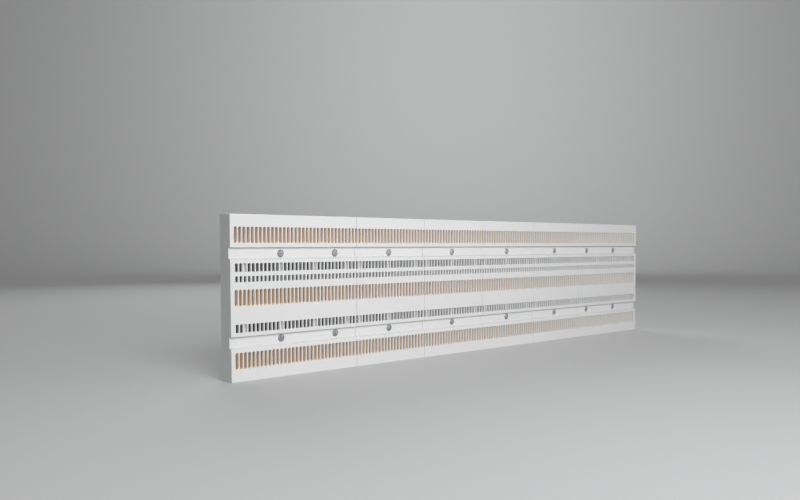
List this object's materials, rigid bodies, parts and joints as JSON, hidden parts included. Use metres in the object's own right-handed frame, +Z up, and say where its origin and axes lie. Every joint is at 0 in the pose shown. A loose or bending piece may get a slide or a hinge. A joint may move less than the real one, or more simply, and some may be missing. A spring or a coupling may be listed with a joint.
{
  "type": "busbar board",
  "caption": "Long flat touch-proof busbar board: slotted, grooved light-grey covers over copper bars on dark bases, with a line of fixing screws in each groove.",
  "frame": {"origin": "middle of the board's box, on the floor under its lower edge", "axes": "+X along the board, +Y from the slotted front to the back, +Z up"},
  "size_m": [0.693, 0.0266, 0.16],
  "materials": {
    "cover_plastic": "fine moulded texture, light grey",
    "base_plastic": "moulded, near black",
    "copper": null,
    "zinc_steel": "zinc-plated"
  },
  "bodies": {
    "root": {"end_cover_left": "cover_plastic", "middle_cover_1": "cover_plastic", "middle_cover_2": "cover_plastic", "middle_cover_3": "cover_plastic", "middle_cover_4": "cover_plastic", "end_cover_right": "cover_plastic", "end_base_left": "base_plastic", "middle_base_1": "base_plastic", "middle_base_2": "base_plastic", "middle_base_3": "base_plastic", "middle_base_4": "base_plastic", "end_base_right": "base_plastic", "busbar_lower": "copper", "busbar_centre": "copper", "busbar_upper": "copper", "fixing_screw_lower_1": "zinc_steel", "fixing_screw_lower_2": "zinc_steel", "fixing_screw_lower_3": "zinc_steel", "fixing_screw_lower_4": "zinc_steel", "fixing_screw_lower_5": "zinc_steel", "fixing_screw_lower_6": "zinc_steel", "fixing_screw_lower_7": "zinc_steel", "fixing_screw_lower_8": "zinc_steel", "fixing_screw_upper_1": "zinc_steel", "fixing_screw_upper_2": "zinc_steel", "fixing_screw_upper_3": "zinc_steel", "fixing_screw_upper_4": "zinc_steel", "fixing_screw_upper_5": "zinc_steel", "fixing_screw_upper_6": "zinc_steel", "fixing_screw_upper_7": "zinc_steel", "fixing_screw_upper_8": "zinc_steel"}
  },
  "joints": []
}
